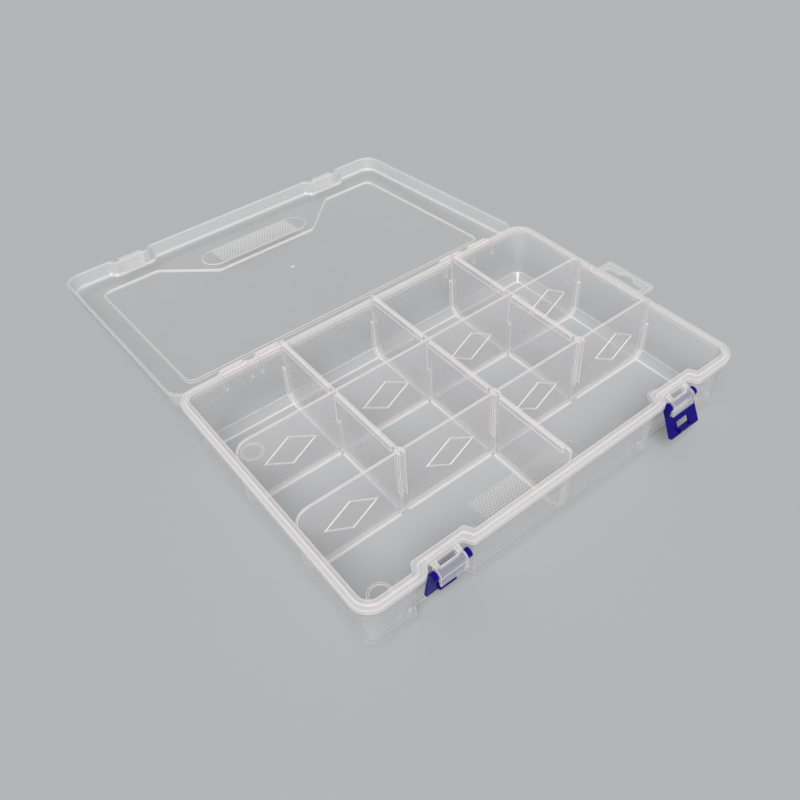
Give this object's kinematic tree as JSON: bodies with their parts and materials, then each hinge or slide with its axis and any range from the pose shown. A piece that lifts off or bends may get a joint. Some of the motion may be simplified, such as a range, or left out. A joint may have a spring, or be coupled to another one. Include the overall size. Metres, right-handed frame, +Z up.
{
  "type": "compartment storage box",
  "caption": "Flat clear plastic storage box with lift-out dividers, a snap-hinged lid, swinging front latches and an end tab for hanging; shown open.",
  "frame": {"origin": "centre of the tray's flat underside, on the table", "axes": "+Z up, -Y towards the latches, +Y towards the hinge, +X towards the end with the hang tab"},
  "size_m": [0.3047, 0.4047, 0.0542],
  "materials": {
    "clear_plastic": "frosted translucent polypropylene, satin",
    "blue_plastic": "opaque indigo-blue moulded plastic, satin"
  },
  "bodies": {
    "tray": {"tray": "clear_plastic"},
    "lid": {"lid": "clear_plastic"},
    "latch_left": {"latch_left": "blue_plastic"},
    "latch_right": {"latch_right": "blue_plastic"},
    "long_divider_rear": {"long_divider_rear": "clear_plastic"},
    "long_divider_front": {"long_divider_front": "clear_plastic"},
    "cross_divider_left": {"cross_divider_left": "clear_plastic"},
    "cross_divider_middle": {"cross_divider_middle": "clear_plastic"},
    "cross_divider_right": {"cross_divider_right": "clear_plastic"},
    "short_divider": {"short_divider": "clear_plastic"}
  },
  "joints": [
    {"name": "lid_hinge", "type": "hinge", "parent": "tray", "child": "lid", "pos_m": [0, 0.1005, 0.042], "axis": [1, 0, 0], "range_deg": [0, 185.2]},
    {"name": "latch_left_hinge", "type": "hinge", "parent": "tray", "child": "latch_left", "pos_m": [-0.091, -0.0975, 0.038], "axis": [-1, 0, 0], "range_deg": [0, 188.3]},
    {"name": "latch_right_hinge", "type": "hinge", "parent": "tray", "child": "latch_right", "pos_m": [0.091, -0.0975, 0.038], "axis": [-1, 0, 0], "range_deg": [-32.8, 155.5]},
    {"name": "lift_long_rear", "type": "slide", "parent": "tray", "child": "long_divider_rear", "axis": [0, 0, -1], "range_m": [-0.06, 0]},
    {"name": "lift_long_front", "type": "slide", "parent": "tray", "child": "long_divider_front", "axis": [0, 0, -1], "range_m": [-0.06, 0]},
    {"name": "lift_cross_left", "type": "slide", "parent": "long_divider_rear", "child": "cross_divider_left", "axis": [0, 0, -1], "range_m": [-0.06, 0]},
    {"name": "lift_cross_middle", "type": "slide", "parent": "long_divider_rear", "child": "cross_divider_middle", "axis": [0, 0, -1], "range_m": [-0.06, 0]},
    {"name": "lift_cross_right", "type": "slide", "parent": "long_divider_rear", "child": "cross_divider_right", "axis": [0, 0, -1], "range_m": [-0.06, 0]},
    {"name": "lift_short", "type": "slide", "parent": "tray", "child": "short_divider", "axis": [0, 0, -1], "range_m": [-0.06, 0]}
  ]
}
